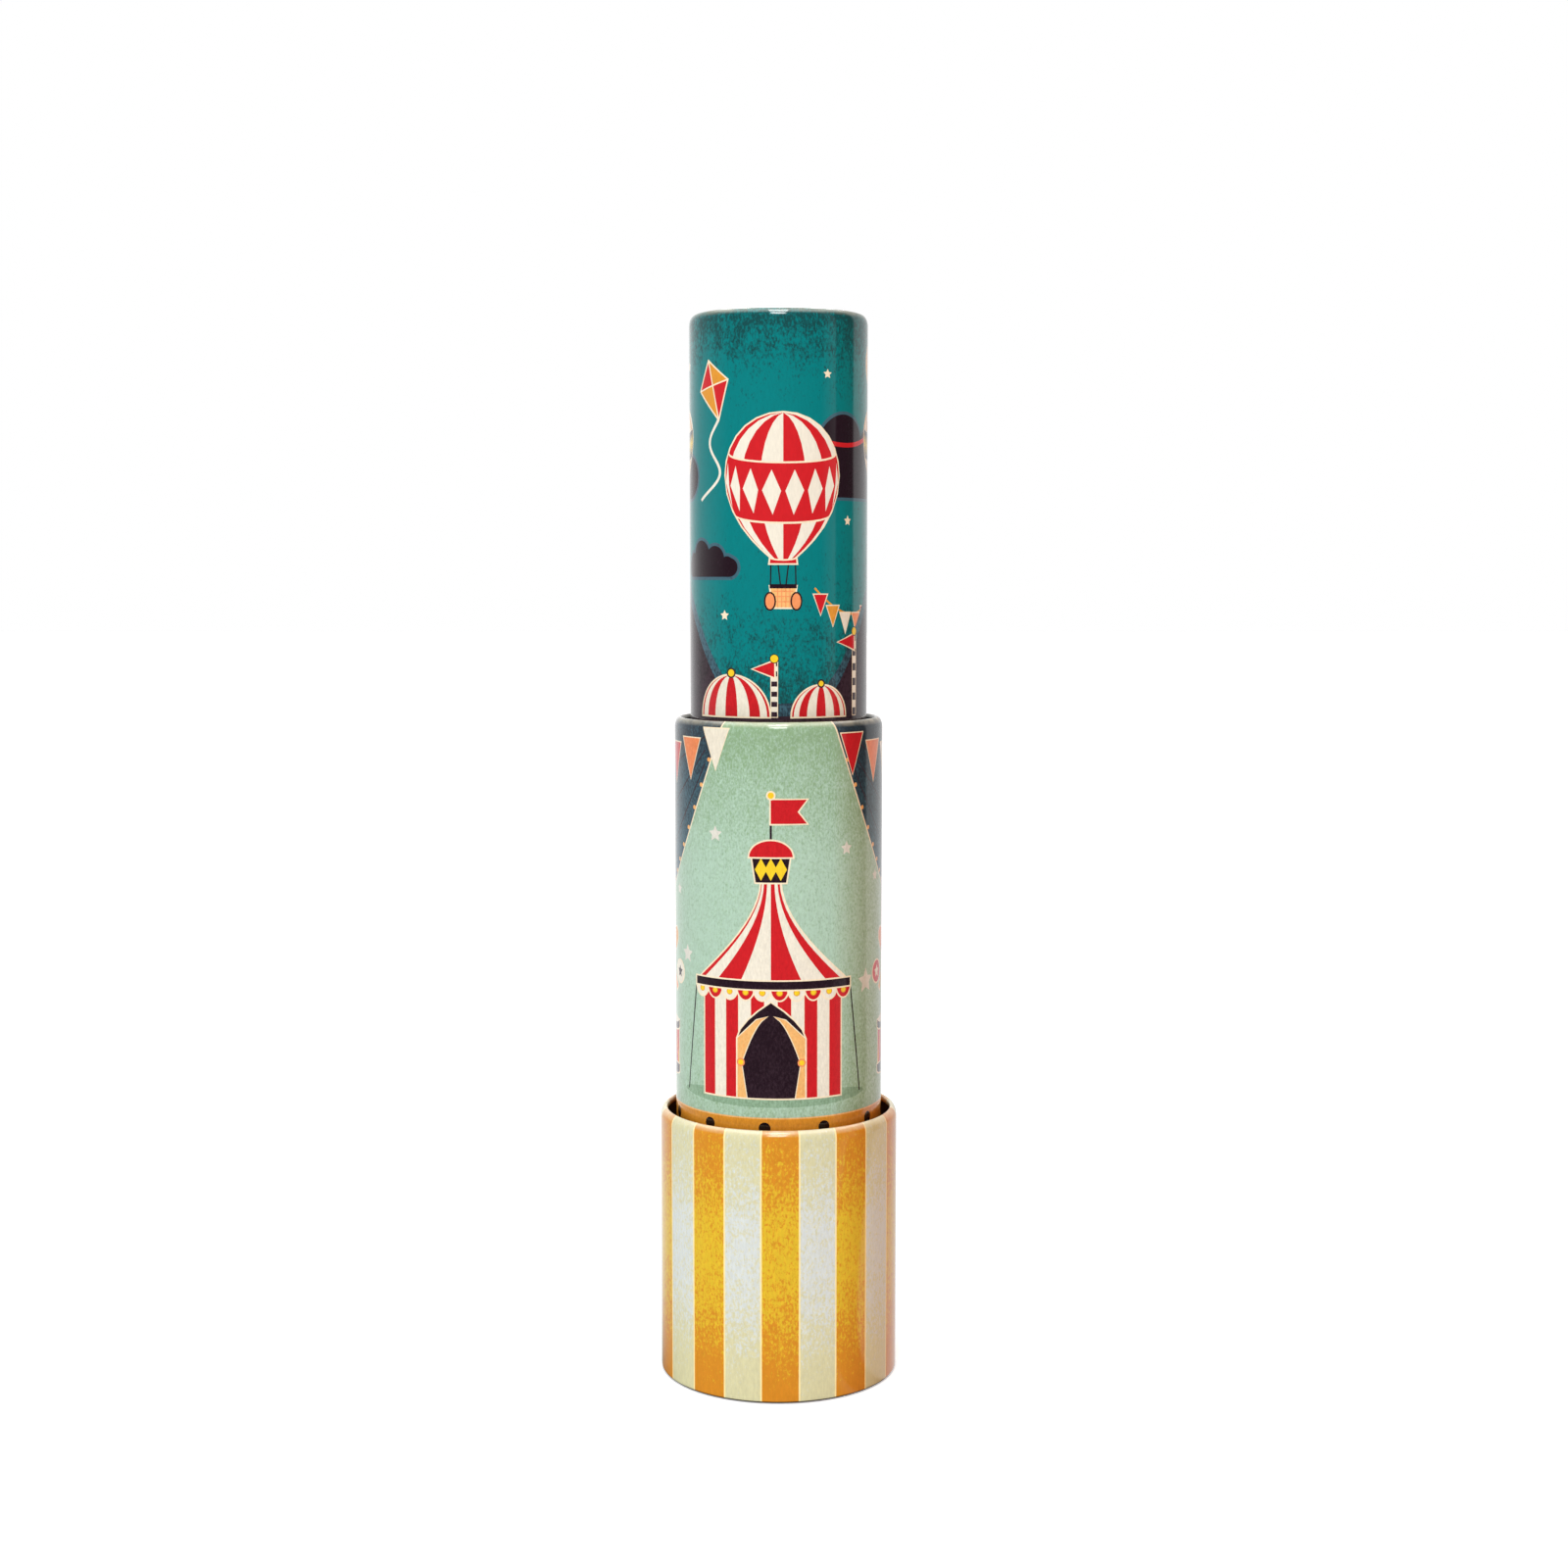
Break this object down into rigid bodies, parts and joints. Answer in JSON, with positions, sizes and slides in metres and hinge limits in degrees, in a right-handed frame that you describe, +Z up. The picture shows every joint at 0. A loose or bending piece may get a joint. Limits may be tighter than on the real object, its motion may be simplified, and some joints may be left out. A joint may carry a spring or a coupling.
{
  "type": "kaleidoscope",
  "caption": "Tin kaleidoscope of nested round tubes standing on its wide end, with a turning bead cell, a mirror prism and an eyepiece tube that slides in.",
  "frame": {"origin": "centre of the flat foot that the wide end stands on", "axes": "+Z up along the tubes' common axis, towards the eyepiece; -Y towards the viewer of the printed front"},
  "size_m": [0.05, 0.05, 0.221],
  "materials": {
    "orange_and_cream_tin": "glossy printed tinplate, orange and cream stripes",
    "mint_tin": "glossy printed tinplate, mint ground",
    "teal_tin": "glossy printed tinplate, teal ground",
    "black_plastic": "moulded, satin",
    "white_plastic": "moulded, satin",
    "milky_plastic": "frosted, lets light through",
    "clear_plastic": "clear, polished",
    "spring_steel": "bright wire",
    "silvered_strip": "silvered on the face that looks inward",
    "black_tape": "woven cloth tape",
    "dark_felt": "pressed felt",
    "ruby_bead": "clear coloured, polished",
    "amber_bead": "clear coloured, polished",
    "lemon_bead": "clear coloured, polished",
    "emerald_bead": "clear coloured, polished",
    "sapphire_bead": "clear coloured, polished",
    "violet_bead": "clear coloured, polished"
  },
  "bodies": {
    "base": {"base_sleeve": "orange_and_cream_tin", "light_screen": "milky_plastic", "cell_ring": "white_plastic", "cell_window": "clear_plastic", "window_keeper": "spring_steel", "base_bush": "black_plastic", "bead_01_ball": "ruby_bead", "bead_02_star": "amber_bead", "bead_03_bugle": "lemon_bead", "bead_04_triangle": "emerald_bead", "bead_05_cube": "sapphire_bead", "bead_06_hexagon": "violet_bead", "bead_07_ball": "amber_bead", "bead_08_star": "lemon_bead", "bead_09_bugle": "emerald_bead", "bead_10_triangle": "sapphire_bead", "bead_11_cube": "violet_bead", "bead_12_hexagon": "ruby_bead", "bead_13_ball": "lemon_bead", "bead_14_star": "emerald_bead", "bead_15_bugle": "sapphire_bead", "bead_16_triangle": "violet_bead", "bead_17_cube": "ruby_bead", "bead_18_hexagon": "amber_bead", "bead_19_ball": "emerald_bead"},
    "barrel": {"barrel_tube": "mint_tin", "mirror_socket": "black_plastic", "mirror_front": "silvered_strip", "mirror_right": "silvered_strip", "mirror_left": "silvered_strip", "tape_band_lower": "black_tape", "tape_band_upper": "black_tape", "mirror_guide": "black_plastic", "draw_stop": "black_plastic"},
    "felt": {"felt_ring": "dark_felt"},
    "draw": {"draw_tube": "teal_tin", "eyepiece_cup": "black_plastic", "eye_window": "clear_plastic", "eye_keeper": "spring_steel"}
  },
  "joints": [
    {"name": "base_turn", "type": "hinge", "parent": "base", "child": "barrel", "pos_m": [0, 0, 0.0158], "axis": [0, 0, 1], "continuous": true},
    {"name": "draw_turn", "type": "hinge", "parent": "barrel", "child": "felt", "pos_m": [0, 0, 0.1309], "axis": [0, 0, 1], "continuous": true},
    {"name": "draw_slide", "type": "slide", "parent": "felt", "child": "draw", "axis": [0, 0, 1], "range_m": [-0.07, 0]}
  ]
}
